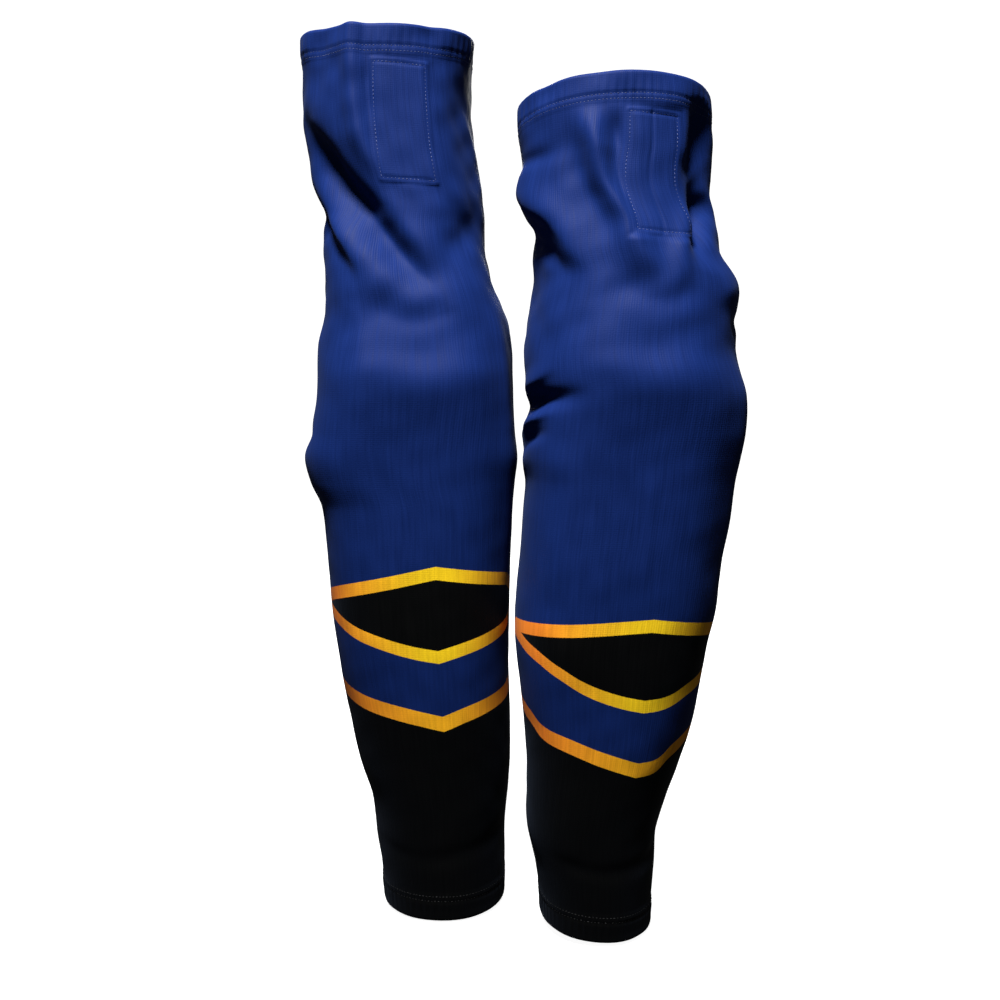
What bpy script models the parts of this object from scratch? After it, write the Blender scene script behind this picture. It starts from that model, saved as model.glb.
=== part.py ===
"""A pair of ice hockey socks, shaped as they are worn over shin guards.

Each sock is a footless knit sleeve: a thigh opening with a turned hem, hook-and-loop patches
sewn inside its front and back, a knee, a shin and calf, and an ankle opening with a turned hem.
Names say the wearer's side. The socks face -Y, +Z is up, and the origin is on the floor plane
below the middle of the pair. Lengths are in metres.
"""

import math

import bmesh
import bpy
from mathutils import Matrix, Vector

# Driving dimensions
CLOTH = 0.0016          # thickness of the knit
GAP = 0.0004            # clearance between sewn layers, so that they stay separate solids
HEM_DEPTH = 0.018       # how far each hem is turned in
HEM_GAP = 0.0014        # the clearance of the turned cloth and its threads to the facets of the wall
HEM_FACETS = 4          # facets up a hem
HEM_ROWS = (0.0125, 0.0165)   # depth of the two needle rows of the coverstitch below the edge
THREAD_R = 0.00045      # sewing thread radius
PATCH_W = 0.041         # hook-and-loop patch, two turns of 20 mm tape wide
PATCH_H = 0.083
PATCH_T = 0.0018
PATCH_CORNER = 0.003
PATCH_FLAT = 0.0060     # how far the stiff patch pulls the round wall flat
PATCH_SEW = 0.0025      # stitch line inside the edge of the patch
PATCH_MARGIN = 0.017    # how far above and below the patch the wall stays flat
PATCH_GAP = 0.0010      # the patch's clearance to the facets of the wall
SEAM_W = 0.007          # overlocked seam allowance down the back
SEAM_T = 0.0016
SEAM_GAP = 0.0011       # the seam's clearance to the facets of the wall
COLUMNS = 40            # facets round a sleeve

KNEE_BEND = math.radians(90)   # how far each knee folds
KNEE_SLIT = 0.006       # half height of the knee section at its front
KNEE_GAP = 0.0012       # half the clearance between the sleeve's sections
KNEE_AXIS_Y = 0.012     # knee axis, behind the sock's centre line


class Sock:
    """One sleeve. A station is (height, centre x, half width, front depth, back depth, squareness)."""

    def __init__(self, side, place, turn, patch_drop, patch_lean, knee_z, top, ankle, stations):
        self.side = side
        self.x, self.y = place
        self.turn = math.radians(turn)            # where the cloth's front centre points
        self.patch_drop = patch_drop              # from the top edge to the middle of a patch
        self.patch_lean = math.radians(patch_lean)
        self.knee_z = knee_z
        self.top, self.ankle = top, ankle         # (height, slope along x, slope along y)
        self.stations = stations
        self.flats = []
        self.flats = [self.patch_frame(front) for front in (True, False)]

    def measures(self, z):
        """The station values at height z, on a smooth curve through the stations."""
        rows = self.stations
        z = min(max(z, rows[0][0]), rows[-1][0])
        i = max(k for k in range(len(rows) - 1) if rows[k][0] <= z)
        low, high = rows[i], rows[i + 1]
        before, after = rows[max(i - 1, 0)], rows[min(i + 2, len(rows) - 1)]
        step = high[0] - low[0]
        t = (z - low[0]) / step
        found = []
        for k in range(1, len(low)):
            rise_low = (high[k] - before[k]) / (high[0] - before[0]) * step
            rise_high = (after[k] - low[k]) / (after[0] - low[0]) * step
            found.append(
                (2 * t**3 - 3 * t**2 + 1) * low[k] + (t**3 - 2 * t**2 + t) * rise_low
                + (3 * t**2 - 2 * t**3) * high[k] + (t**3 - t**2) * rise_high
            )
        return found

    def point(self, angle, z, inset=0.0):
        """A point of the outer surface, or inset inside it. Angle 0 faces -Y and 90 degrees faces +X."""
        cx, half, front, back, square = self.measures(z)
        out_x, out_y = math.sin(angle), -math.cos(angle)
        depth = front if out_y < 0 else back
        share_x = abs(out_x) / (half - inset)
        share_y = abs(out_y) / (depth - inset)
        reach = (share_x**square + share_y**square) ** (-1 / square)
        p = Vector((self.x + cx + reach * out_x, self.y + reach * out_y, z))
        for centre, normal, _ in self.flats:
            above = max(0.0, abs(z - centre.z) - PATCH_H / 2 - PATCH_MARGIN)
            proud = (p - centre).dot(normal) + inset - above
            if proud > 0:
                p -= normal * proud
        return p

    def patch_frame(self, front):
        """(centre, outward normal, up) of the flat wall over a patch."""
        angle = self.turn + (0 if front else math.pi)
        middle = self.edge(angle, self.top, self.patch_drop)
        low = self.point(angle, middle - PATCH_H / 2)
        high = self.point(angle, middle + PATCH_H / 2)
        up = (high - low).normalized()
        out = Vector((math.sin(angle), -math.cos(angle), 0))
        normal = (out - up * out.dot(up)).normalized()
        return (low + high) / 2 - normal * PATCH_FLAT, normal, up

    def around(self):
        """The angles of the facets' edges, with a whole facet at the cloth's front centre."""
        step = 2 * math.pi / COLUMNS
        return [self.turn + step * (k + 0.5) for k in range(COLUMNS)]

    def edge(self, angle, plane, drop=0.0):
        """Height of a slanted edge plane at this angle, drop below it."""
        z, slope_x, slope_y = plane
        cx = self.measures(z)[0]
        p = self.point(angle, z)
        return z + slope_x * (p.x - self.x - cx) + slope_y * (p.y - self.y) - drop

    def top_edge(self, drop=0.0):
        return lambda angle: self.edge(angle, self.top, drop)

    def ankle_edge(self, rise=0.0):
        return lambda angle: self.edge(angle, self.ankle, -rise)

    def knee_cut(self, side, gap):
        """The cut above (side 1) or below (side -1) the knee: level in front of the axis, sloped behind it."""
        slope = math.tan(KNEE_BEND / 2) * 1.04

        def height(angle):
            z = self.knee_z
            for _ in range(12):
                behind = max(0.0, self.point(angle, z).y - self.y - KNEE_AXIS_Y)
                z = self.knee_z + side * (KNEE_SLIT + slope * behind + gap)
            return z

        return height


# Wearer's right sock: the leg stands nearly straight. Wearer's left: the knee is a little bent,
# so the thigh leans back and its opening tips.
SOCKS = (
    Sock(
        "right", place=(-0.075, 0.023), turn=12, patch_drop=0.0635, patch_lean=-3, knee_z=0.405,
        top=(0.629, 0.0, 0.08), ankle=(0.0016, 0.0, 0.03),
        stations=(
            (0.000, 0.0191, 0.0455, 0.053, 0.045, 2.2),
            (0.050, 0.0165, 0.0490, 0.057, 0.048, 2.3),
            (0.104, 0.0127, 0.0566, 0.063, 0.058, 2.4),
            (0.176, 0.0056, 0.0630, 0.071, 0.078, 2.5),
            (0.248, 0.0022, 0.0671, 0.077, 0.080, 2.5),
            (0.294, 0.0014, 0.0702, 0.078, 0.073, 2.5),
            (0.330, -0.0031, 0.0775, 0.076, 0.067, 2.4),
            (0.375, -0.0005, 0.0712, 0.081, 0.061, 2.3),
            (0.411, -0.0004, 0.0700, 0.085, 0.060, 2.2),
            (0.457, -0.0050, 0.0623, 0.076, 0.060, 2.1),
            (0.493, -0.0087, 0.0592, 0.069, 0.062, 2.1),
            (0.565, -0.0193, 0.0615, 0.065, 0.066, 2.1),
            (0.640, -0.0204, 0.0634, 0.065, 0.067, 2.1),
        ),
    ),
    Sock(
        "left", place=(0.075, -0.017), turn=15, patch_drop=0.065, patch_lean=-7, knee_z=0.392,
        top=(0.577, 0.0, -0.13), ankle=(0.0044, -0.06, 0.03),
        stations=(
            (0.000, -0.0184, 0.0405, 0.053, 0.044, 2.2),
            (0.038, -0.0195, 0.0440, 0.056, 0.046, 2.3),
            (0.064, -0.0205, 0.0475, 0.058, 0.050, 2.4),
            (0.115, -0.0141, 0.0547, 0.064, 0.062, 2.4),
            (0.167, -0.0102, 0.0637, 0.070, 0.076, 2.5),
            (0.228, -0.0062, 0.0705, 0.076, 0.081, 2.5),
            (0.288, 0.0010, 0.0705, 0.079, 0.074, 2.5),
            (0.335, 0.0048, 0.0750, 0.077, 0.066, 2.4),
            (0.372, 0.0060, 0.0755, 0.084, 0.060, 2.3),
            (0.400, 0.0032, 0.0735, 0.086, 0.060, 2.2),
            (0.450, 0.0060, 0.0700, 0.074, 0.064, 2.1),
            (0.486, -0.0005, 0.0650, 0.065, 0.068, 2.1),
            (0.530, -0.0085, 0.0665, 0.060, 0.072, 2.1),
            (0.600, -0.0073, 0.0670, 0.055, 0.076, 2.1),
        ),
    ),
)

# name: (colour, roughness)
FINISHES = {
    "royal_blue_knit": ((0.022, 0.055, 0.26), 0.72),
    "black_knit": ((0.008, 0.008, 0.009), 0.75),
    "blue_hem": ((0.020, 0.048, 0.22), 0.75),
    "black_hem": ((0.010, 0.010, 0.011), 0.8),
    "loop_tape": ((0.03, 0.06, 0.24), 0.9),
    "sewing_thread": ((0.10, 0.14, 0.34), 0.6),
    "overlock_seam": ((0.03, 0.05, 0.18), 0.8),
}


def clear_scene():
    for obj in list(bpy.data.objects):
        bpy.data.objects.remove(obj)


def make_finish(name):
    colour, roughness = FINISHES[name]
    mat = bpy.data.materials.new(name)
    mat.use_nodes = True
    shader = mat.node_tree.nodes["Principled BSDF"]
    shader.inputs["Base Color"].default_value = (*colour, 1)
    shader.inputs["Roughness"].default_value = roughness
    shader.inputs["Metallic"].default_value = 0.0
    return mat


def add_object(name, data, finish, group):
    obj = bpy.data.objects.new(name, data)
    data.materials.append(finish)
    group.objects.link(obj)
    return obj


def add_solidify(obj, thickness):
    """Gives an open sheet its thickness, inwards from the surface it was drawn on."""
    wall = obj.modifiers.new("thickness", "SOLIDIFY")
    wall.thickness = thickness
    wall.offset = -1
    wall.use_even_offset = True


def row_heights(edges, rows, angle):
    """Heights at this angle: the edges from low to high, with so many rows between each two."""
    heights = [edges[0](angle)]
    for low, high, count in zip(edges, edges[1:], rows):
        z0, z1 = low(angle), high(angle)
        heights += [z0 + (z1 - z0) * (k + 1) / count for k in range(count)]
    return heights


def add_band(name, sock, edges, rows, thickness, finish, group, inset=0.0, angles=None):
    """A strip of the sleeve between edges, all the way round, or over the given angles."""
    closed = angles is None
    if closed:
        angles = sock.around()
    bm = bmesh.new()
    grid = []
    for angle in angles:
        heights = row_heights(edges, rows, angle)
        grid.append([bm.verts.new(sock.point(angle, z, inset)) for z in heights])
    columns = len(grid) if closed else len(grid) - 1
    for c in range(columns):
        here, beside = grid[c], grid[(c + 1) % len(grid)]
        for r in range(sum(rows)):
            bm.faces.new((here[r], beside[r], beside[r + 1], here[r + 1]))
    mesh = bpy.data.meshes.new(name)
    bm.to_mesh(mesh)
    bm.free()
    mesh.shade_smooth()
    obj = add_object(name, mesh, finish, group)
    add_solidify(obj, thickness)
    return obj


def add_thread(name, points, finish, group):
    """A closed run of sewing thread through the points."""
    curve = bpy.data.curves.new(name, "CURVE")
    curve.dimensions = "3D"
    curve.bevel_depth = THREAD_R
    curve.bevel_resolution = 0
    spline = curve.splines.new("POLY")
    spline.points.add(len(points) - 1)
    for place, p in zip(spline.points, points):
        place.co = (*p, 1)
    spline.use_cyclic_u = True
    return add_object(name, curve, finish, group)


def add_ring_thread(name, sock, height, finish, group):
    """One needle row of a hem, on the outside of the sleeve."""
    outside = -(HEM_GAP + THREAD_R)
    points = [sock.point(angle, height(angle), outside) for angle in sock.around()]
    return add_thread(name, points, finish, group)


def patch_matrix(sock, front, outward):
    """Places a patch: local x across it, y up it, z out of the sleeve, outward from the wall's outer face."""
    centre, normal, up = sock.flats[0 if front else 1]
    across = up.cross(normal)
    frame = Matrix((across, up, normal)).transposed().to_4x4()
    lean = Matrix.Rotation(sock.patch_lean if front else 0, 4, "Z")
    return Matrix.Translation(centre + normal * outward) @ frame @ lean


def add_patch(name, sock, front, finish, group):
    """A flat rectangle of loop tape with rounded corners, against the inside of the wall."""
    bm = bmesh.new()
    bmesh.ops.create_cube(bm, size=1)
    bmesh.ops.scale(bm, vec=(PATCH_W, PATCH_H, PATCH_T), verts=bm.verts)
    corners = [e for e in bm.edges if abs(e.verts[0].co.z - e.verts[1].co.z) > PATCH_T / 2]
    bmesh.ops.bevel(bm, geom=corners, offset=PATCH_CORNER, segments=3, affect="EDGES", profile=0.5)
    mesh = bpy.data.meshes.new(name)
    bm.to_mesh(mesh)
    bm.free()
    obj = add_object(name, mesh, finish, group)
    under = PATCH_GAP if front else SEAM_GAP + SEAM_T + GAP
    obj.matrix_world = patch_matrix(sock, front, -(CLOTH + under + PATCH_T / 2))
    return obj


def add_patch_stitching(name, sock, front, finish, group):
    """The lockstitch round a patch, which shows on the outside of the sleeve."""
    half_w, half_h = PATCH_W / 2 - PATCH_SEW, PATCH_H / 2 - PATCH_SEW
    place = patch_matrix(sock, front, GAP + THREAD_R)
    points = []
    for sign_x, sign_y, start in ((1, 1, 0), (-1, 1, 90), (-1, -1, 180), (1, -1, 270)):
        for turn in (0, 45, 90):
            a = math.radians(start + turn)
            x = sign_x * (half_w - PATCH_CORNER) + PATCH_CORNER * math.cos(a)
            y = sign_y * (half_h - PATCH_CORNER) + PATCH_CORNER * math.sin(a)
            points.append(place @ Vector((x, y, 0)))
    return add_thread(name, points, finish, group)


def add_sleeve(sock, finishes, group):
    """The knit sleeve, in three sections so that it can fold at the knee."""
    side, slack = sock.side, KNEE_GAP
    blue, black = finishes["royal_blue_knit"], finishes["black_knit"]
    thigh = (sock.knee_cut(1, slack), sock.top_edge(HEM_DEPTH), sock.top_edge())
    knee = (sock.knee_cut(-1, -slack), sock.knee_cut(1, -slack))
    shin = (sock.ankle_edge(), sock.ankle_edge(HEM_DEPTH), sock.knee_cut(-1, slack))
    add_band(side + "_thigh_tube", sock, thigh, (10, HEM_FACETS), CLOTH, blue, group)
    add_band(side + "_knee_section", sock, knee, (4,), CLOTH, blue, group)
    add_band(side + "_shin_tube", sock, shin, (HEM_FACETS, 9), CLOTH, black, group)


def add_hems(sock, finishes, group):
    """The cloth turned in at both ends, and the two needle rows that hold each."""
    side, inside, lip = sock.side, CLOTH + HEM_GAP, 0.001
    thigh = (sock.top_edge(HEM_DEPTH), sock.top_edge(lip))
    ankle = (sock.ankle_edge(lip), sock.ankle_edge(HEM_DEPTH))
    add_band(side + "_thigh_hem", sock, thigh, (HEM_FACETS,), CLOTH, finishes["blue_hem"], group, inset=inside)
    add_band(side + "_ankle_hem", sock, ankle, (HEM_FACETS,), CLOTH, finishes["black_hem"], group, inset=inside)
    thread = finishes["sewing_thread"]
    for row, depth in zip(("upper", "lower"), HEM_ROWS):
        add_ring_thread(f"{side}_thigh_hem_thread_{row}", sock, sock.top_edge(depth), thread, group)
    for row, depth in zip(("lower", "upper"), HEM_ROWS):
        add_ring_thread(f"{side}_ankle_hem_thread_{row}", sock, sock.ankle_edge(depth), thread, group)


def add_patches(sock, finishes, group):
    """Hook-and-loop patches inside the thigh opening, front and back, and their stitching."""
    for front in (True, False):
        name = f"{sock.side}_{'front' if front else 'rear'}"
        add_patch(name + "_loop_patch", sock, front, finishes["loop_tape"], group)
        add_patch_stitching(name + "_patch_stitching", sock, front, finishes["sewing_thread"], group)


def add_back_seam(sock, finishes, group):
    """The overlocked seam allowance down the inside of the back, between the hems and under the patch."""
    side, finish, slack = sock.side, finishes["overlock_seam"], SEAM_GAP
    angle = sock.turn + math.pi
    half = SEAM_W / 2 / sock.measures(sock.knee_z)[3]
    angles = (angle - half, angle, angle + half)
    inside, clear = CLOTH + SEAM_GAP, 0.003
    thigh = (sock.knee_cut(1, slack), sock.top_edge(HEM_DEPTH + clear))
    knee = (sock.knee_cut(-1, -slack), sock.knee_cut(1, -slack))
    shin = (sock.ankle_edge(HEM_DEPTH + clear), sock.knee_cut(-1, slack))
    for section, edges, rows in (("thigh", thigh, 8), ("knee", knee, 4), ("shin", shin, 8)):
        add_band(f"{side}_back_seam_{section}", sock, edges, (rows,), SEAM_T, finish, group,
                 inset=inside, angles=angles)


def build():
    clear_scene()
    group = bpy.data.collections.new("hockey_socks")
    bpy.context.scene.collection.children.link(group)
    finishes = {name: make_finish(name) for name in FINISHES}
    for sock in SOCKS:
        add_sleeve(sock, finishes, group)
        add_hems(sock, finishes, group)
        add_patches(sock, finishes, group)
        add_back_seam(sock, finishes, group)


build()
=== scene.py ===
"""Looks for a pair of ice hockey socks, worn over shin guards.

Every surface point is found from cloth coordinates: an angle round the leg, in degrees, where 0 faces
-Y and 90 faces +X, and a height in metres. One function turns them into a place, so the sleeve, hems,
patches, seams and stitches all follow the same folds.
"""

import math

import bpy
import numpy as np
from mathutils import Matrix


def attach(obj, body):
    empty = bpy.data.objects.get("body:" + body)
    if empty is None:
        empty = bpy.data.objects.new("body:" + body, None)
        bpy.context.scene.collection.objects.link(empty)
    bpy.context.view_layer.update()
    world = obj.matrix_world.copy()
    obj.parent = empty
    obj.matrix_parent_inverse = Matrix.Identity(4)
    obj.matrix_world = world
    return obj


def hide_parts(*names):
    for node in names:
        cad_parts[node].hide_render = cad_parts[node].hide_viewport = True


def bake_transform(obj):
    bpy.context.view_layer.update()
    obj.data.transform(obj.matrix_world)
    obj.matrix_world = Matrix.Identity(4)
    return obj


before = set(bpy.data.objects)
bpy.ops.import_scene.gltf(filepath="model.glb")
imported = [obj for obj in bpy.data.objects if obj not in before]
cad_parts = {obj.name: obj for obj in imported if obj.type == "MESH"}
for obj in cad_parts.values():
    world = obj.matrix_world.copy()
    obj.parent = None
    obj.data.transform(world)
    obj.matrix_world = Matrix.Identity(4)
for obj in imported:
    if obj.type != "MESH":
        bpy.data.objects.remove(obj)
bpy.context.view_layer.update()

# Sizes, in metres
CLOTH = 0.0012           # thickness of the knit
HEM_DEPTH = 0.020        # turned cloth at each opening
HEM_RISE = 0.0008        # how far a hem's second layer lifts the face
EDGE_ROLL, EDGE_TUCK = 0.0018, 0.0016        # height of a rolled edge, and how far it turns in
NEEDLE_ROWS = (0.0150, 0.0185)               # rows of hem stitches, measured in from the edge
NEEDLE_SINK, NEEDLE_WIDTH = 0.0007, 0.0011   # the groove that a needle row pulls in
STITCH_PITCH, PATCH_PITCH = 0.0025, 0.0026   # of the hems' and the patches' stitches
STITCH_LENGTH = 0.0019
THREAD_R = 0.00026
PATCH_W, PATCH_H, PATCH_T = 0.041, 0.083, 0.0016
PATCH_CORNER = 0.003
PATCH_GAP = {"front": 0.0006, "rear": 0.0028}   # behind the sleeve; the back seam lies in the rear one
PATCH_RISE = 0.0010      # how far a patch lifts the sleeve's face
PATCH_SEW = 0.0022       # sewing inside the patch's edge
SEW_SINK, SEW_WIDTH = 0.0008, 0.0010         # the groove that a patch's sewing pulls in
TAPE, TAPE_WIDTH = 0.0195, 0.0011            # one turn of a patch's tape, and the line beside it
SEAM_SINK, SEAM_WIDTH = 0.0008, 0.0012       # the groove over the back seam
SEAM_HALF, SEAM_T = 0.0034, 0.0013           # half the width of the seam allowance, and its thickness
COLUMNS, ROWS = 320, 460                     # of the sleeve's grid
ARC = 0.066              # radius that turns an angle into a length along the cloth
PRINT_LOW, PRINT_SPAN = 0.10, 0.20   # heights that the stripe curves run between
PRINT_TOP = 0.70         # height at the top of the cloth's second texture coordinate

FLOOR = -0.0080          # just below the lowest point of the ankles
CAMERA_PLACE = (-0.013, -0.837, 0.357)
CAMERA_LENS = 41.04      # millimetres
CAMERA_PITCH = 4.01418   # degrees below level

BLUE = (0.0024, 0.0108, 0.070)
NAVY = (0.0026, 0.0110, 0.070)
BLACK = (0.0004, 0.0004, 0.0003)
YELLOW = (0.66, 0.43, 0.009)
AMBER = (0.66, 0.31, 0.010)
ORANGE = (0.62, 0.165, 0.014)
INSIDE = (0.016, 0.028, 0.10)
THREAD_BLUE = (0.008, 0.018, 0.080)
THREAD_PALE = (0.018, 0.030, 0.105)


class Fold:
    """A ridge (height > 0) or valley along a path of (degrees, height). Its flanks have two widths, left
    and right of the path's direction, and it can be carried down, so that it hangs over."""

    def __init__(self, path, height, left, right=None, sag=0.0, ends=(0.25, 0.25)):
        self.path = np.array(path, float)
        self.height = height
        self.left, self.right = left, right or left
        self.sag = sag
        self.ends = ends


class Sock:
    """One sleeve and everything that is worked out from its cloth.

    outline: rows of (height, centre x, half width). depths: rows of (height, front, back).
    squareness: rows of (height, exponent), where 2 is an ellipse. top and ankle: the openings' planes,
    as (height, slope along x, slope along y). patch: (middle angle, height, lean), front and rear.
    stripes: (width, points), with points as (degrees from the front of the print, height).
    """

    def __init__(self, side, centre_y, turn, knee_z, outline, depths, squareness, top, ankle,
                 folds, patch, patch_line, stripes):
        self.side = side
        self.y = centre_y
        self.turn = turn
        self.knee_z = knee_z
        self.outline = np.array(outline)
        self.depths = np.array(depths)
        self.squareness = np.array(squareness)
        self.top, self.ankle = top, ankle
        self.folds = folds
        self.patch, self.patch_line = patch, patch_line
        self.stripes = stripes

    def names(self, *parts):
        return [f"{self.side}_{part}" for part in parts]


def smooth_rows(rows, z):
    """Columns 1 and up of rows at heights z, on a smooth curve through the rows."""
    heights = rows[:, 0]
    z = np.clip(z, heights[0], heights[-1])
    i = np.clip(np.searchsorted(heights, z, side="right") - 1, 0, len(rows) - 2)
    before, after = np.maximum(i - 1, 0), np.minimum(i + 2, len(rows) - 1)
    step = heights[i + 1] - heights[i]
    t = (z - heights[i]) / step
    found = []
    for k in range(1, rows.shape[1]):
        v = rows[:, k]
        slope_low = (v[i + 1] - v[before]) / (heights[i + 1] - heights[before]) * step
        slope_high = (v[after] - v[i]) / (heights[after] - heights[i]) * step
        found.append(
            (2 * t**3 - 3 * t**2 + 1) * v[i] + (t**3 - 2 * t**2 + t) * slope_low
            + (3 * t**2 - 2 * t**3) * v[i + 1] + (t**3 - t**2) * slope_high
        )
    return found


def smoothstep(x, low, high):
    t = np.clip((x - low) / (high - low), 0, 1)
    return t * t * (3 - 2 * t)


def wrap(degrees):
    return (degrees + 180) % 360 - 180


def curve_through(path, steps=6):
    """Points of a smooth curve through the path's points."""
    ends = np.vstack([2 * path[0] - path[1], path, 2 * path[-1] - path[-2]])
    points = []
    for k in range(len(path) - 1):
        a, b, c, d = ends[k:k + 4]
        for t in np.arange(steps) / steps:
            points.append(0.5 * (2 * b + (c - a) * t + (2 * a - 5 * b + 4 * c - d) * t**2
                                 + (3 * b - a - 3 * c + d) * t**3))
    points.append(path[-1])
    return np.array(points)


def fold_height(fold, angle, z):
    """How far the fold lifts the cloth at each point."""
    points = curve_through(fold.path)
    middle = points[:, 0].mean()
    x = np.radians(wrap(angle - middle) + middle) * ARC
    px, pz = np.radians(points[:, 0]) * ARC, points[:, 1]
    nearest = np.full(x.shape, 9.0)
    side = np.zeros(x.shape)
    along = np.zeros(x.shape)
    lengths = np.hypot(np.diff(px), np.diff(pz))
    total, run = lengths.sum(), 0.0
    for k, length in enumerate(lengths):
        ux, uz = (px[k + 1] - px[k]) / length, (pz[k + 1] - pz[k]) / length
        dx, dz = x - px[k], z - pz[k]
        t = np.clip(dx * ux + dz * uz, 0, length)
        away = np.hypot(dx - t * ux, dz - t * uz)
        closer = away < nearest
        nearest = np.where(closer, away, nearest)
        side = np.where(closer, ux * dz - uz * dx, side)
        along = np.where(closer, (run + t) / total, along)
        run += length
    width = np.where(side > 0, fold.left, fold.right)
    start, end = fold.ends
    taper = np.ones(x.shape)
    if start > 0:
        taper = taper * smoothstep(along, -0.02, start)
    if end > 0:
        taper = taper * smoothstep(1 - along, -0.02, end)
    return fold.height * taper * np.exp(-((nearest / width) ** 2))


def ripples(angle, z, seed, count, turns, lengths):
    """Gentle seeded waves: whole numbers of waves round the leg, and wavelengths up it."""
    rng = np.random.RandomState(seed)
    total = np.zeros(np.broadcast(angle, z).shape)
    for _ in range(count):
        waves = rng.randint(turns[0], turns[1] + 1)
        length = rng.uniform(*lengths)
        phase = rng.uniform(0, 2 * math.pi)
        total += np.cos(np.radians(angle) * waves * rng.choice((-1, 1)) + z * 2 * math.pi / length + phase)
    return total / math.sqrt(count)


def patch_coordinates(sock, angle, z, front=True):
    """Metres across and up from the middle of a patch."""
    middle, height, lean = sock.patch[0 if front else 1]
    across = np.radians(wrap(angle - middle)) * ARC
    up = z - height
    c, s = math.cos(math.radians(lean)), math.sin(math.radians(lean))
    return c * across + s * up, -s * across + c * up


def patch_cloth(sock, across, up, front=True):
    """The angle and height of a point of a patch: the reverse of patch_coordinates."""
    middle, height, lean = sock.patch[0 if front else 1]
    c, s = math.cos(math.radians(lean)), math.sin(math.radians(lean))
    return middle + np.degrees((c * across - s * up) / ARC), height + s * across + c * up


def box_mask(across, up, half_w, half_h, soft):
    """1 inside a rectangle, falling to 0 outside it over the soft width."""
    outside = np.maximum(np.abs(across) - half_w, np.abs(up) - half_h)
    return 1 - smoothstep(outside, -soft / 2, soft / 2)


def edge_height(sock, plane, angle):
    """Height of a slanted opening at each angle."""
    z, slope_x, slope_y = plane
    half, = smooth_rows(sock.outline[:, [0, 2]], np.full_like(angle, z))
    a = np.radians(angle)
    return z + half * (slope_x * np.sin(a) - slope_y * np.cos(a))


def base_reach(sock, angle, z):
    """Centre x, and the distance from the centre to the worn sleeve without folds."""
    cx, half = smooth_rows(sock.outline, z)
    front, back = smooth_rows(sock.depths, z)
    square, = smooth_rows(sock.squareness, z)
    a = np.radians(angle)
    depth = np.where(np.cos(a) > 0, front, back)
    share_x, share_y = np.abs(np.sin(a)) / half, np.abs(np.cos(a)) / depth
    return cx, (share_x**square + share_y**square) ** (-1 / square)


def bell(x, width):
    """1 at x = 0, falling smoothly to nothing over a few widths on each side."""
    return np.exp(-((x / width) ** 2))


def fold_lift(sock, angle, z):
    """How far all the folds lift the cloth, and how far they carry it down."""
    lift, drop = np.zeros(z.shape), np.zeros(z.shape)
    for fold in sock.folds:
        amount = fold_height(fold, angle, z)
        lift += amount
        drop += fold.sag * amount
    # most of it is left out at the sides, where the outline already holds the folds that show
    side_angle, side_width, left_out = 92, 26, 0.75
    beside = 1 - left_out * bell(np.abs(wrap(angle)) - side_angle, side_width)
    return lift * beside, drop * beside


def patch_flattening(sock, angle, z, reach, front):
    """How much a patch stiffens the cloth, 0 to 1, and the reach of the cloth drawn flat over it."""
    middle = sock.patch[0 if front else 1][0]
    beyond, soft, inwards = 0.001, 0.010, 0.0015
    across, up = patch_coordinates(sock, angle, z, front)
    stiff = box_mask(across, up, PATCH_W / 2 + beyond, PATCH_H / 2 + beyond, soft)
    _, centre_reach = base_reach(sock, np.full_like(z, middle), z)
    turned = np.radians(wrap(angle - middle))
    plane = (centre_reach - inwards) / np.maximum(np.cos(turned), 0.3)
    return stiff, np.minimum(reach, plane)


def patch_relief(sock, angle, z, front):
    """A patch seen through the sleeve: raised, sunk along its sewing and between its turns of tape."""
    across, up = patch_coordinates(sock, angle, z, front)
    inner = box_mask(across, up, PATCH_W / 2, PATCH_H / 2, PATCH_T)
    sewn = np.maximum(np.abs(across) - PATCH_W / 2, np.abs(up) - PATCH_H / 2) + PATCH_SEW
    lift = PATCH_RISE * inner - SEW_SINK * bell(sewn, SEW_WIDTH) * inner
    if front:
        lift -= sock.patch_line * bell(across + PATCH_W / 2 - TAPE, TAPE_WIDTH) * inner
    return lift


def cloth_surface(sock, angle, z, inset=0.0, emboss=True):
    """Places of cloth points, an inset inside the outer face."""
    angle, z = np.broadcast_arrays(np.asarray(angle, float), np.asarray(z, float))
    cx, reach = base_reach(sock, angle, z)
    lift, drop = fold_lift(sock, angle, z)
    # the ripples are fainter over the shin guard
    soft = 0.25 + 0.75 * smoothstep(z, sock.knee_z - 0.03, sock.knee_z + 0.06)
    lift += 0.0009 * soft * ripples(angle, z, 11, 10, (2, 7), (0.05, 0.16))
    lift += 0.00035 * soft * ripples(angle, z, 23, 12, (6, 16), (0.02, 0.07))
    for front in (True, False):
        stiff, flat = patch_flattening(sock, angle, z, reach, front)
        reach = reach + (flat - reach) * stiff * 0.8
        lift = lift * (1 - 0.55 * stiff)
        if emboss:
            lift += patch_relief(sock, angle, z, front)
    if emboss:
        lift += hem_relief(sock, angle, z)
        seam = np.radians(wrap(angle - sock.turn - 180)) * ARC
        lift -= SEAM_SINK * bell(seam, SEAM_WIDTH)
    reach = reach + lift - inset
    a = np.radians(angle)
    return np.stack([cx + reach * np.sin(a), sock.y - reach * np.cos(a), z - drop], axis=-1)


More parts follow.
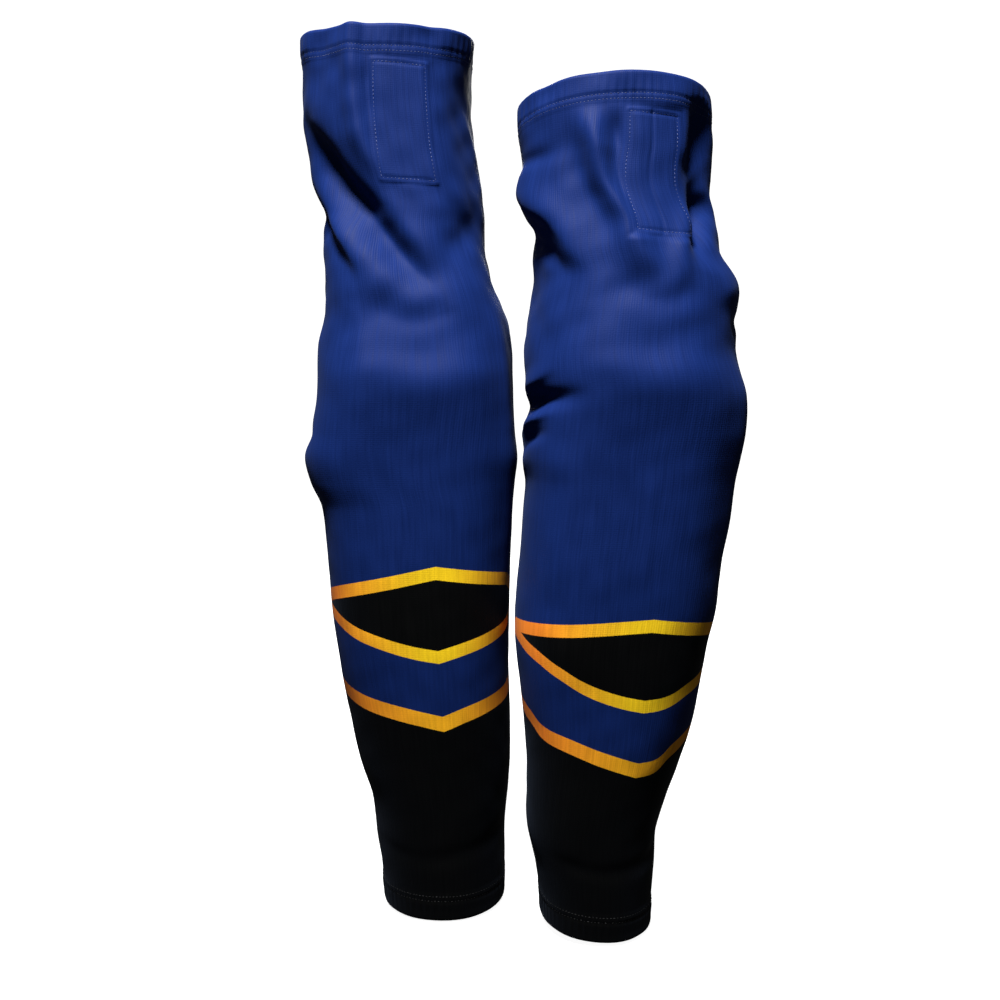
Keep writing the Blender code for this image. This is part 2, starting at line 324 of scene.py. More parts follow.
def hem_relief(sock, angle, z):
    """The hems: two layers thick, rolled at the edge, sunk and slightly puckered at the needle rows."""
    lift = np.zeros(z.shape)
    step, pucker, puckers = 0.001, 0.00022, 62
    a = np.radians(angle)
    for plane, sign in ((sock.top, 1), (sock.ankle, -1)):
        depth = sign * (edge_height(sock, plane, angle) - z)
        lift += HEM_RISE * (1 - smoothstep(depth, HEM_DEPTH - step, HEM_DEPTH + step))
        roll = np.clip(1 - depth / EDGE_ROLL, 0, 1)
        lift -= EDGE_TUCK * (1 - np.sqrt(np.clip(1 - roll**2, 0, 1)))
        for row in NEEDLE_ROWS:
            lift -= NEEDLE_SINK * bell(depth - row, NEEDLE_WIDTH)
        near = bell(depth - NEEDLE_ROWS[0] + 0.004, 0.008)
        lift += pucker * near * np.cos(a * puckers) * (1 + 0.6 * np.cos(a * 5))
    return lift


# The wearer's right sock (at -X) and left sock (at +X). Depths, folds away from the front and the back
# of the print are judged, not seen.
RIGHT = Sock(
    "right", centre_y=0.023, turn=11, knee_z=0.405,
    outline=(
        (0.000, -0.0557, 0.0455), (0.022, -0.0564, 0.0470), (0.049, -0.0583, 0.0490),
        (0.076, -0.0587, 0.0517), (0.104, -0.0621, 0.0566), (0.140, -0.0659, 0.0604),
        (0.176, -0.0692, 0.0630), (0.212, -0.0715, 0.0653), (0.248, -0.0726, 0.0671),
        (0.294, -0.0734, 0.0702), (0.312, -0.0768, 0.0751), (0.330, -0.0779, 0.0780),
        (0.348, -0.0768, 0.0751), (0.375, -0.0749, 0.0717), (0.411, -0.0752, 0.0705),
        (0.430, -0.0752, 0.0675), (0.457, -0.0798, 0.0623), (0.480, -0.0830, 0.0600),
        (0.493, -0.0835, 0.0588), (0.505, -0.0826, 0.0573), (0.529, -0.0888, 0.0607),
        (0.565, -0.0941, 0.0615), (0.601, -0.0960, 0.0611), (0.640, -0.0952, 0.0634),
    ),
    depths=(
        (0.00, 0.054, 0.044), (0.05, 0.058, 0.046), (0.10, 0.063, 0.058), (0.15, 0.069, 0.072),
        (0.20, 0.075, 0.080), (0.25, 0.078, 0.079), (0.30, 0.080, 0.072), (0.34, 0.083, 0.065),
        (0.372, 0.0860, 0.062), (0.388, 0.0855, 0.061), (0.405, 0.0815, 0.061), (0.425, 0.0785, 0.061),
        (0.45, 0.0765, 0.061), (0.50, 0.068, 0.063), (0.55, 0.065, 0.066), (0.64, 0.064, 0.066),
    ),
    squareness=(
        (0.0, 2.2), (0.10, 2.5), (0.20, 2.9), (0.30, 3.2), (0.38, 3.0), (0.44, 2.5), (0.65, 2.2),
    ),
    top=(0.6335, 0.0, 0.11), ankle=(-0.0040, 0.0, 0.06),
    patch=((11.5, 0.5612, -2.3), (191.0, 0.5700, 0.0)), patch_line=0.0002,
    folds=(
        # ridge down from the hem, past the patch's left edge
        Fold(((-16, 0.640), (-16, 0.600), (-15, 0.562), (-11, 0.538), (-5, 0.514)), 0.0060, 0.0065, 0.0085,
             ends=(0.0, 0.35)),
        Fold(((-7, 0.606), (-7, 0.575), (-6.5, 0.545)), -0.0020, 0.0030, ends=(0.3, 0.5)),
        # the deep valley that crosses from the left to above the kneecap, and the roll below it
        Fold(((-74, 0.574), (-48, 0.546), (-34, 0.523), (-20, 0.501), (-3, 0.477), (13, 0.449),
              (20, 0.433)), -0.0125, 0.0095, 0.0150, ends=(0.35, 0.28)),
        Fold(((-75, 0.532), (-52, 0.512), (-35, 0.486), (-18, 0.458), (-6, 0.434)), 0.0048, 0.0140, 0.0110,
             sag=0.25, ends=(0.30, 0.50)),
        Fold(((-60, 0.500), (-47, 0.490), (-32, 0.466), (-27, 0.444)), -0.0055, 0.0050, 0.0100,
             ends=(0.15, 0.55)),
        # the shallow valley from the right, and the hollow above the kneecap
        Fold(((75, 0.515), (50, 0.494), (32, 0.472), (14, 0.442)), -0.0028, 0.0120, 0.0110),
        Fold(((-22, 0.440), (2, 0.425), (26, 0.436)), -0.0022, 0.0110, 0.0090),
        # kneecap: a dome that ends in a bright crescent
        Fold(((-26, 0.420), (-12, 0.394), (6, 0.382), (24, 0.390), (42, 0.412)), 0.0020, 0.0150, 0.0170,
             ends=(0.3, 0.3)),
        # corners of the shin guard
        Fold(((46, 0.455), (51, 0.420), (52, 0.370), (54, 0.310), (54, 0.250), (50, 0.180)), 0.0032,
             0.0100, 0.0080, ends=(0.2, 0.5)),
        Fold(((-44, 0.447), (-25, 0.418), (-22, 0.366), (-21, 0.310), (-22, 0.230)), 0.0016, 0.0070, 0.0100,
             ends=(0.2, 0.6)),
        Fold(((-9, 0.300), (-9, 0.270), (-10, 0.215)), 0.0007, 0.0028),
        # hollows under the hem, left and right of the patch
        Fold(((-40, 0.640), (-42, 0.600), (-44, 0.575)), -0.0042, 0.0120, ends=(0.0, 0.4)),
        Fold(((33, 0.640), (36, 0.605)), -0.0024, 0.0080, ends=(0.0, 0.5)),
        Fold(((58, 0.600), (57, 0.555), (64, 0.505)), -0.0018, 0.0160),
        # the loose cloth behind the knee and calf
        Fold(((110, 0.470), (140, 0.440), (185, 0.425), (230, 0.440)), 0.0040, 0.0090, sag=0.4),
        Fold(((115, 0.440), (150, 0.408), (190, 0.396), (235, 0.412)), -0.0050, 0.0060),
        Fold(((105, 0.405), (150, 0.382), (195, 0.372), (245, 0.386)), 0.0036, 0.0085, sag=0.4),
        Fold(((120, 0.360), (160, 0.350), (210, 0.352)), -0.0030, 0.0060),
        Fold(((130, 0.560), (160, 0.520), (200, 0.500), (240, 0.505)), -0.0040, 0.0120),
        Fold(((115, 0.530), (150, 0.495), (190, 0.475), (235, 0.478)), 0.0036, 0.0100, sag=0.3),
        Fold(((-84, 0.352), (-70, 0.345), (-52, 0.350)), -0.0024, 0.0080),
        Fold(((-60, 0.052), (-20, 0.040), (30, 0.046), (70, 0.060)), -0.0010, 0.0070),
    ),
    stripes=(
        (0.0092, ((-175, 0.222), (-90, 0.222), (-69, 0.231), (0, 0.2512), (45, 0.243), (90, 0.222),
                  (175, 0.222))),
        (0.0092, ((-175, 0.222), (-95, 0.2215), (-70, 0.2200), (-38, 0.2050), (-14, 0.1950), (0, 0.1915),
                  (19, 0.1990), (45, 0.2085), (90, 0.222), (175, 0.222))),
        (0.0112, ((-175, 0.168), (-95, 0.168), (-70, 0.1640), (-38, 0.1540), (0, 0.1425), (17, 0.1500),
                  (59, 0.1615), (95, 0.168), (175, 0.168))),
    ),
)

LEFT = Sock(
    "left", centre_y=-0.017, turn=15, knee_z=0.392,
    outline=(
        (0.000, 0.0568, 0.0400), (0.012, 0.0568, 0.0405), (0.038, 0.0557, 0.0435), (0.064, 0.0535, 0.0471),
        (0.089, 0.0568, 0.0504), (0.115, 0.0611, 0.0547), (0.141, 0.0640, 0.0597), (0.167, 0.0650, 0.0637),
        (0.202, 0.0661, 0.0683), (0.228, 0.0690, 0.0705), (0.262, 0.0719, 0.0705), (0.288, 0.0751, 0.0716),
        (0.314, 0.0776, 0.0719), (0.331, 0.0783, 0.0750), (0.348, 0.0806, 0.0765), (0.374, 0.0824, 0.0760),
        (0.400, 0.0784, 0.0741), (0.426, 0.0798, 0.0726), (0.452, 0.0815, 0.0700), (0.469, 0.0768, 0.0660),
        (0.487, 0.0747, 0.0645), (0.500, 0.0705, 0.0655), (0.512, 0.0672, 0.0660), (0.525, 0.0668, 0.0662),
        (0.538, 0.0683, 0.0665), (0.564, 0.0679, 0.0673), (0.600, 0.0676, 0.0650),
    ),
    depths=(
        (0.00, 0.053, 0.043), (0.05, 0.057, 0.046), (0.10, 0.062, 0.058), (0.15, 0.068, 0.072),
        (0.20, 0.074, 0.080), (0.25, 0.077, 0.080), (0.30, 0.079, 0.072), (0.34, 0.082, 0.065),
        (0.372, 0.0855, 0.062), (0.388, 0.0850, 0.060), (0.405, 0.0815, 0.061), (0.43, 0.0785, 0.062),
        (0.46, 0.0715, 0.065), (0.50, 0.063, 0.069), (0.55, 0.058, 0.073), (0.60, 0.055, 0.076),
    ),
    squareness=(
        (0.0, 2.2), (0.10, 2.5), (0.20, 2.9), (0.30, 3.1), (0.36, 2.8), (0.42, 2.45), (0.65, 2.2),
    ),
    top=(0.5765, 0.03, -0.14), ankle=(-0.0030, -0.06, 0.05),
    patch=((18.3, 0.5190, -3.0), (197.0, 0.5080, 0.0)), patch_line=0.0009,
    folds=(
        # the bright ridge from the hem to the knee, with a valley on each side
        Fold(((-22, 0.566), (-17, 0.540), (-9, 0.514), (-4, 0.494), (0, 0.470), (6, 0.435)), 0.0078,
             0.0090, 0.0110, ends=(0.25, 0.35)),
        Fold(((-38, 0.562), (-35, 0.543), (-29, 0.526), (-22, 0.502), (-17, 0.484), (-10, 0.460)), -0.0042,
             0.0110, 0.0120, ends=(0.4, 0.5)),
        Fold(((-6, 0.563), (-6, 0.530), (-1, 0.505), (6, 0.480)), -0.0042, 0.0065, 0.0070, ends=(0.3, 0.5)),
        # rolls of loose cloth at the left, one hanging over the next
        Fold(((-125, 0.528), (-100, 0.520), (-72, 0.506), (-48, 0.492), (-32, 0.466), (-22, 0.436)), 0.0070,
             0.0120, 0.0095, sag=0.25, ends=(0.3, 0.4)),
        Fold(((-130, 0.498), (-100, 0.492), (-75, 0.480), (-50, 0.468), (-40, 0.444)), -0.0070, 0.0050,
             0.0090, ends=(0.3, 0.5)),
        Fold(((-110, 0.541), (-85, 0.534), (-55, 0.534), (-40, 0.536)), -0.0040, 0.0060, ends=(0.3, 0.5)),
        Fold(((-115, 0.556), (-88, 0.553), (-60, 0.556)), 0.0028, 0.0090, ends=(0.3, 0.6)),
        # the pocket right of the patch, the lit ridge below it and the second pocket
        Fold(((58, 0.574), (57, 0.545), (50, 0.515), (38, 0.492), (30, 0.478)), -0.0120, 0.0140, 0.0110,
             ends=(0.20, 0.4)),
        Fold(((75, 0.536), (54, 0.523), (36, 0.494), (21, 0.462), (9, 0.432)), 0.0064, 0.0075, 0.0075,
             ends=(0.3, 0.4)),
        Fold(((72, 0.506), (50, 0.497), (35, 0.473), (30, 0.455)), -0.0100, 0.0080, 0.0070,
             ends=(0.2, 0.5)),
        Fold(((110, 0.462), (80, 0.452), (52, 0.444), (38, 0.430)), 0.0030, 0.0110, 0.0085, sag=0.2),
        Fold(((100, 0.428), (72, 0.424), (50, 0.418)), -0.0032, 0.0060),
        # kneecap
        Fold(((-28, 0.436), (-14, 0.400), (4, 0.386), (23, 0.393), (38, 0.416)), 0.0022, 0.0150, 0.0170,
             ends=(0.3, 0.3)),
        Fold(((-20, 0.452), (6, 0.436), (30, 0.446)), -0.0016, 0.0110, 0.0090),
        # creases beside the knee at the left
        Fold(((-125, 0.382), (-92, 0.378), (-60, 0.384), (-40, 0.394)), 0.0046, 0.0070, 0.0050, sag=0.6),
        Fold(((-125, 0.364), (-92, 0.366), (-60, 0.370), (-38, 0.372), (-22, 0.375)), -0.0085,
             0.0055, 0.0070, ends=(0.3, 0.40)),
        Fold(((-120, 0.346), (-92, 0.350), (-62, 0.359), (-40, 0.365)), 0.0044, 0.0055, 0.0050, sag=0.5),
        Fold(((-120, 0.330), (-92, 0.336), (-62, 0.345), (-42, 0.350)), -0.0040, 0.0050),
        Fold(((-115, 0.318), (-90, 0.322), (-66, 0.330)), 0.0020, 0.0070),
        # corners of the shin guard
        Fold(((40, 0.425), (50, 0.390), (52, 0.340), (54, 0.280), (52, 0.200)), 0.0026, 0.0100, 0.0085,
             ends=(0.3, 0.5)),
        Fold(((-38, 0.345), (-34, 0.300), (-34, 0.230)), 0.0014, 0.0080, 0.0100),
        Fold(((6, 0.330), (7, 0.290), (8, 0.240)), 0.0006, 0.0030),
        # hem and the loose cloth behind
        Fold(((-55, 0.590), (-50, 0.562)), -0.0022, 0.0100, ends=(0.0, 0.5)),
        Fold(((100, 0.560), (130, 0.530), (170, 0.512), (220, 0.520)), -0.0044, 0.0110),
        Fold(((110, 0.535), (150, 0.500), (190, 0.482), (235, 0.492)), 0.0040, 0.0100, sag=0.3),
        Fold(((115, 0.470), (150, 0.440), (190, 0.425), (235, 0.440)), 0.0044, 0.0090, sag=0.4),
        Fold(((115, 0.440), (150, 0.412), (190, 0.398), (232, 0.410)), -0.0056, 0.0060),
        Fold(((110, 0.405), (150, 0.384), (195, 0.370), (240, 0.378)), 0.0040, 0.0085, sag=0.4),
        Fold(((110, 0.375), (150, 0.356), (200, 0.346)), -0.0034, 0.0060),
        Fold(((75, 0.066), (40, 0.050), (0, 0.046), (-40, 0.056)), -0.0012, 0.0060),
    ),
    stripes=(
        (0.0088, ((-175, 0.205), (-105, 0.206), (-88, 0.2140), (-40, 0.2172), (0, 0.2210), (55, 0.2120),
                  (95, 0.203), (175, 0.205))),
        (0.0088, ((-175, 0.205), (-112, 0.2055), (-87, 0.2090), (-63, 0.2005), (-46, 0.1885), (-30, 0.1765),
                  (-13, 0.1690), (0, 0.1655), (11, 0.1672), (27, 0.1755), (55, 0.1850), (100, 0.203),
                  (175, 0.205))),
        (0.0104, ((-175, 0.160), (-110, 0.160), (-90, 0.1565), (-71, 0.1515), (-59, 0.1432), (-40, 0.1362),
                  (-22, 0.1285), (1, 0.1200), (12, 0.1220), (23, 0.1320), (53, 0.1440), (100, 0.157),
                  (175, 0.160))),
    ),
)

SOCKS = (RIGHT, LEFT)


# Materials

class Nodes:
    """A short way to write a material's node tree."""

    def __init__(self, name):
        self.material = bpy.data.materials.new(name)
        self.material.use_nodes = True
        self.tree = self.material.node_tree
        self.shader = self.tree.nodes["Principled BSDF"]

    def put(self, socket, value):
        if isinstance(value, bpy.types.NodeSocket):
            self.tree.links.new(value, socket)
        else:
            socket.default_value = value

    def math(self, operation, a, b=0.0, c=None, clamp=False):
        node = self.tree.nodes.new("ShaderNodeMath")
        node.operation = operation
        node.use_clamp = clamp
        self.put(node.inputs[0], a)
        self.put(node.inputs[1], b)
        if c is not None:
            self.put(node.inputs[2], c)
        return node.outputs[0]

    def mix(self, factor, a, b, blend="MIX"):
        node = self.tree.nodes.new("ShaderNodeMix")
        node.data_type = "RGBA"
        node.blend_type = blend
        self.put(node.inputs[0], factor)
        self.put(node.inputs[6], a if isinstance(a, bpy.types.NodeSocket) else (*a, 1))
        self.put(node.inputs[7], b if isinstance(b, bpy.types.NodeSocket) else (*b, 1))
        return node.outputs[2]

    def cloth_uv(self):
        """The cloth's coordinates: the share of the way round from the back seam, and the height."""
        uv = self.tree.nodes.new("ShaderNodeUVMap")
        uv.uv_map = "cloth"
        split = self.tree.nodes.new("ShaderNodeSeparateXYZ")
        self.put(split.inputs[0], uv.outputs[0])
        return split.outputs[0], self.math("MULTIPLY", split.outputs[1], PRINT_TOP)

    def noise(self, x, y, scale, detail=3.0, rough=0.55):
        join = self.tree.nodes.new("ShaderNodeCombineXYZ")
        self.put(join.inputs[0], x)
        self.put(join.inputs[1], y)
        node = self.tree.nodes.new("ShaderNodeTexNoise")
        node.noise_dimensions = "2D"
        self.put(node.inputs["Vector"], join.outputs[0])
        self.put(node.inputs["Scale"], scale)
        self.put(node.inputs["Detail"], detail)
        self.put(node.inputs["Roughness"], rough)
        return node.outputs[0]

    def curve(self, x, points, smooth):
        """A curve through the points. Even a smooth one has a corner where it is lowest."""
        node = self.tree.nodes.new("ShaderNodeFloatCurve")
        line = node.mapping.curves[0]
        while len(line.points) < len(points):
            line.points.new(0.5, 0.5)
        lowest = min(py for _, py in points)
        for place, (px, py) in zip(line.points, points):
            place.location = (px, py)
            place.handle_type = "AUTO_CLAMPED" if smooth and py > lowest else "VECTOR"
        node.mapping.update()
        self.put(node.inputs["Value"], x)
        return node.outputs[0]

    def bump(self, height, distance, strength=1.0):
        node = self.tree.nodes.new("ShaderNodeBump")
        self.put(node.inputs["Strength"], strength)
        self.put(node.inputs["Distance"], distance)
        self.put(node.inputs["Height"], height)
        self.put(self.shader.inputs["Normal"], node.outputs[0])

    def finish(self, colour, roughness, sheen=0.0, tint=(1, 1, 1), sheen_rough=0.4, specular=0.3):
        if isinstance(colour, bpy.types.NodeSocket):
            self.put(self.shader.inputs["Base Color"], colour)
        else:
            self.shader.inputs["Base Color"].default_value = (*colour, 1)
        self.put(self.shader.inputs["Roughness"], roughness)
        self.shader.inputs["Sheen Weight"].default_value = sheen
        self.shader.inputs["Sheen Tint"].default_value = (*tint, 1)
        self.shader.inputs["Sheen Roughness"].default_value = sheen_rough
        self.shader.inputs["Specular IOR Level"].default_value = specular
        return self.material


def knit(nodes, u, z, course=0.0014):
    """Height of the rib knit: upright wales, fainter courses and long pulled streaks. Also the streaks."""
    wales = 300
    wave = nodes.math("SINE", nodes.math("MULTIPLY", u, 2 * math.pi * wales))
    loops = nodes.math("SINE", nodes.math("MULTIPLY", z, 2 * math.pi / course))
    streaks = nodes.noise(nodes.math("MULTIPLY", u, 230.0), nodes.math("MULTIPLY", z, 26.0), 1.0, 2.0)
    pilling = nodes.noise(nodes.math("MULTIPLY", u, 0.42), z, 900.0, 2.0)
    height = nodes.math("ADD", nodes.math("MULTIPLY", wave, 0.20), nodes.math("MULTIPLY", loops, 0.05))
    height = nodes.math("ADD", height, nodes.math("MULTIPLY", streaks, 1.1))
    height = nodes.math("ADD", height, nodes.math("MULTIPLY", pilling, 0.5))
    return height, streaks


def vary(nodes, colour, streaks, low=0.80, high=1.25):
    """Darkens and lightens a colour with the streaks."""
    amount = nodes.math("MULTIPLY_ADD", streaks, high - low, low)
    shade = nodes.tree.nodes.new("ShaderNodeCombineColor")
    for socket in shade.inputs[:3]:
        nodes.put(socket, amount)
    return nodes.mix(1.0, colour, shade.outputs[0], "MULTIPLY")


def printed_knit(sock):
    """Royal blue above, a black lens between two stripes, a blue band, a third stripe, and black below."""
    nodes = Nodes(f"{sock.side}_printed_knit")
    u, z = nodes.cloth_uv()
    edge = 0.0004                        # softness of the print's edges
    side_start, side_span = 0.02, 0.14   # shares of the way round over which yellow turns to orange
    centres, bands = [], []
    for k, (width, points) in enumerate(sock.stripes):
        scaled = [(0.5 + angle / 360, (height - PRINT_LOW) / PRINT_SPAN) for angle, height in points]
        centre = nodes.math("MULTIPLY_ADD", nodes.curve(u, scaled, k > 0), PRINT_SPAN, PRINT_LOW)
        over = nodes.math("SUBTRACT", z, centre)
        inside = nodes.math("SUBTRACT", width / 2, nodes.math("ABSOLUTE", over))
        bands.append(nodes.math("MULTIPLY_ADD", inside, 1 / edge, 0.5, clamp=True))
        centres.append(nodes.math("MULTIPLY_ADD", over, 1 / edge, 0.5, clamp=True))
    above, lens_floor, band_floor = centres
    between = nodes.math("SUBTRACT", band_floor, lens_floor)
    blue = nodes.math("ADD", above, between, clamp=True)
    fabric = nodes.mix(blue, BLACK, nodes.mix(above, NAVY, BLUE))
    out = nodes.math("ABSOLUTE", nodes.math("SUBTRACT", u, 0.5))
    side = nodes.math("MULTIPLY_ADD", out, 1 / side_span, -side_start / side_span, clamp=True)
    gold = nodes.mix(side, nodes.mix(bands[2], YELLOW, AMBER), ORANGE)
    stripe = nodes.math("MAXIMUM", nodes.math("MAXIMUM", bands[0], bands[1]), bands[2])
    colour = nodes.mix(stripe, fabric, gold)
    height, streaks = knit(nodes, u, z)
    shadow = nodes.noise(nodes.math("MULTIPLY", u, 5.0), nodes.math("MULTIPLY", z, 9.0), 1.0, 2.0)
    colour = vary(nodes, vary(nodes, colour, streaks), shadow, 0.9, 1.1)
    nodes.bump(height, 0.00030, 0.45)
    rough = nodes.math("MULTIPLY_ADD", streaks, 0.22, 0.50)
    return nodes.finish(colour, rough, sheen=0.014, tint=(0.5, 0.65, 1.0), sheen_rough=0.5, specular=0.05)


def inside_knit():
    """The sleeve's paler back face, brushed."""
    nodes = Nodes("inside_knit")
    u, z = nodes.cloth_uv()
    height, streaks = knit(nodes, u, z, course=0.0018)
    nodes.bump(height, 0.0005, 0.7)
    return nodes.finish(vary(nodes, INSIDE, streaks, 0.7, 1.3), 0.9, sheen=0.1)


def thread(name, colour):
    nodes = Nodes(name)
    uv = nodes.tree.nodes.new("ShaderNodeTexCoord")
    ply = nodes.tree.nodes.new("ShaderNodeTexNoise")
    nodes.put(ply.inputs["Vector"], uv.outputs["Object"])
    nodes.put(ply.inputs["Scale"], 2600.0)
    nodes.bump(ply.outputs[0], 0.0001, 0.6)
    return nodes.finish(vary(nodes, colour, ply.outputs[0], 0.75, 1.3), 0.55, sheen=0.15)


def loop_pile():
    """The loop side of hook-and-loop tape: a soft, tangled pile."""
    nodes = Nodes("loop_pile")
    u, z = nodes.cloth_uv()
    fine = nodes.noise(nodes.math("MULTIPLY", u, 0.42), z, 2100.0, 4.0, 0.7)
    coarse = nodes.noise(nodes.math("MULTIPLY", u, 0.42), z, 420.0, 2.0)
    height = nodes.math("ADD", fine, nodes.math("MULTIPLY", coarse, 0.8))
    nodes.bump(height, 0.0011, 0.9)
    return nodes.finish(vary(nodes, (0.006, 0.014, 0.065), fine, 0.5, 1.6), 0.95, sheen=0.3)


# Geometry

def new_object(name, vertices, faces, materials, uv=None, indices=None):
    mesh = bpy.data.meshes.new(name)
    mesh.from_pydata([tuple(v) for v in vertices], [], [tuple(f) for f in faces])
    if uv is not None:
        layer = mesh.uv_layers.new(name="cloth")
        layer.data.foreach_set("uv", np.asarray(uv, np.float32).ravel())
    for material in materials:
        mesh.materials.append(material)
    if indices is not None:
        mesh.polygons.foreach_set("material_index", np.asarray(indices, np.int32))
    mesh.shade_smooth()
    mesh.update()
    obj = bpy.data.objects.new(name, mesh)
    bpy.context.scene.collection.objects.link(obj)
    return obj


def grid_faces(rows, columns, closed):
    """Quads of a grid whose vertices run row by row, with faces pointing out."""
    across = columns if closed else columns - 1
    r, c = np.meshgrid(np.arange(rows - 1), np.arange(across), indexing="ij")
    beside = (c + 1) % columns
    quads = np.stack([r * columns + c, r * columns + beside, (r + 1) * columns + beside,
                      (r + 1) * columns + c], axis=-1)
    return quads.reshape(-1, 4)


def grid_uv(sock, angle, z, closed):
    """The cloth coordinates of every corner of a grid's faces. Angles count from the back seam."""
    share = (angle - sock.turn + 180) / 360
    if closed:
        share = np.concatenate([share, share[:, :1] + 1], axis=1)
        z = np.concatenate([z, z[:, :1]], axis=1)
    uv = np.stack([share, z / PRINT_TOP], axis=-1)
    corners = (uv[:-1, :-1], uv[:-1, 1:], uv[1:, 1:], uv[1:, :-1])
    return np.stack(corners, axis=2).reshape(-1, 2)


def add_thickness(obj, thickness, inner=0):
    """A wall grown inwards, whose inside takes the material that many slots further on."""
    wall = obj.modifiers.new("thickness", "SOLIDIFY")
    wall.thickness = thickness
    wall.offset = -1.0
    wall.material_offset = inner
    wall.use_quality_normals = True


def cloth_grid(name, sock, angle, z, materials, closed, inset=0.0, emboss=True):
    """A piece of cloth over a grid of angles and heights."""
    angle, z = np.broadcast_arrays(angle, z)
    place = cloth_surface(sock, angle, z, inset, emboss)
    faces = grid_faces(angle.shape[0], angle.shape[1], closed)
    return new_object(name, place.reshape(-1, 3), faces, materials, grid_uv(sock, angle, z, closed))


def around(sock, columns):
    """Evenly spaced angles round the leg, from the back seam."""
    return sock.turn - 180 + 360 * np.arange(columns) / columns


def make_sleeve(sock, outside, inside):
    angles = around(sock, COLUMNS)
    low, high = edge_height(sock, sock.ankle, angles), edge_height(sock, sock.top, angles)
    t = np.linspace(0, 1, ROWS)[:, None]
    # rows crowd together at both hems, where the edge rolls
    t = t - 0.010 * np.sin(2 * np.pi * t)
    z = low + (high - low) * t
    sleeve = cloth_grid(f"{sock.side}_sleeve", sock, angles, z, (outside, inside), True)
    add_thickness(sleeve, CLOTH, inner=1)
    return sleeve


def make_turned_hem(name, sock, plane, sign, material):
    """The turned-in cloth of an opening, from the rolled edge to its overlocked raw edge."""
    angles = around(sock, COLUMNS)
    edge = edge_height(sock, plane, angles)
    gap = 0.0008
    depth = np.concatenate([[0.0004, 0.0010, 0.0020], np.linspace(0.004, HEM_DEPTH, 14)])[:, None]
    raw = bell(depth - HEM_DEPTH, 0.002)
    a = np.radians(angles)
    z = edge - sign * depth + sign * 0.0008 * raw * np.cos(a * 95)
    if sign > 0:
        z, raw = z[::-1], raw[::-1]
    wobble = 0.0006 * raw * np.sin(a * 41) + 0.0004 * np.sin(a * 17) ** 2
    piece = cloth_grid(name, sock, angles, z, (material,), True, inset=CLOTH + gap + wobble)
    add_thickness(piece, CLOTH)
    return piece


def stitches(name, starts, ends, outs, material, radius=THREAD_R):
    """Short runs of thread between starts and ends, arched out of the cloth in the direction outs."""
    sides = 6
    # rings of (share of the length, share of the radius, radii above the cloth)
    shape = ((0.0, 0.35, -1.2), (0.10, 0.85, -0.2), (0.5, 1.0, 0.45), (0.90, 0.85, -0.2), (1.0, 0.35, -1.2))
    starts, ends, outs = (np.asarray(v, float) for v in (starts, ends, outs))
    along = ends - starts
    side = np.cross(along, outs)
    side /= np.linalg.norm(side, axis=1, keepdims=True)
    rings = []
    for share, fat, rise in shape:
        middle = starts + along * share + outs * (rise * radius)
        for k in range(sides):
            a = 2 * math.pi * k / sides
            rings.append(middle + (side * math.cos(a) + outs * math.sin(a)) * radius * fat)
    vertices = np.stack(rings, axis=1).reshape(-1, 3)
    one = grid_faces(len(shape), sides, True).tolist()
    size = len(shape) * sides
    caps = [tuple(range(sides))[::-1], tuple(range(size - sides, size))]
    faces = [tuple(i + j * size for i in f) for j in range(len(starts)) for f in (*one, *caps)]
    return new_object(name, vertices, faces, (material,))


def stitch_line(name, sock, angle, z, material, closed=False, pitch=STITCH_PITCH):
    """Stitches along a line of cloth points, on the outer face."""
    points = cloth_surface(sock, angle, z)
    if closed:
        points = np.vstack([points, points[:1]])
    steps = np.linalg.norm(np.diff(points, axis=0), axis=1)
    run = np.concatenate([[0], np.cumsum(steps)])
    count = max(2, int(run[-1] / pitch))
    at = run[-1] * np.arange(count) / count
    pick = [np.interp(at, run, points[:, k]) for k in range(3)]
    pick_end = [np.interp(at + STITCH_LENGTH, run, points[:, k]) for k in range(3)]
    starts, ends = np.stack(pick, axis=1), np.stack(pick_end, axis=1)
    middle = points.mean(axis=0)
    if closed:
        outs = (starts - middle) * (1, 1, 0)
    else:
        cx, _ = smooth_rows(sock.outline, starts[:, 2])
        outs = np.stack([starts[:, 0] - cx, starts[:, 1] - sock.y, np.zeros(len(cx))], axis=1)
    outs = outs / np.linalg.norm(outs, axis=1, keepdims=True)
    return stitches(name, starts, ends, outs, material)


def make_hem_stitches(sock, opening, plane, sign, material):
    """Two needle rows outside a hem, and the looper thread's zigzag between them inside."""
    line_points, zigzags, gap = 900, 280, 0.0014
    angles = around(sock, line_points)
    edge = edge_height(sock, plane, angles)
    rows = []
    for label, depth in zip(("upper", "lower") if sign > 0 else ("lower", "upper"), NEEDLE_ROWS):
        name = f"{sock.side}_{opening}_hem_stitches_{label}"
        rows.append(stitch_line(name, sock, angles, edge - sign * depth, material, closed=True))
    zigzag = around(sock, zigzags)
    swing = np.where(np.arange(zigzags) % 2 == 0, *NEEDLE_ROWS)
    z = edge_height(sock, plane, zigzag) - sign * swing
    place = cloth_surface(sock, zigzag, z, inset=2 * CLOTH + gap)
    centre = place.mean(axis=0)
    outs = (centre - place) * (1, 1, 0)
    outs /= np.linalg.norm(outs, axis=1, keepdims=True)
    following = np.roll(place, -1, axis=0)
    looper = stitches(f"{sock.side}_{opening}_hem_looper", place, following, outs, material)
    return rows, looper


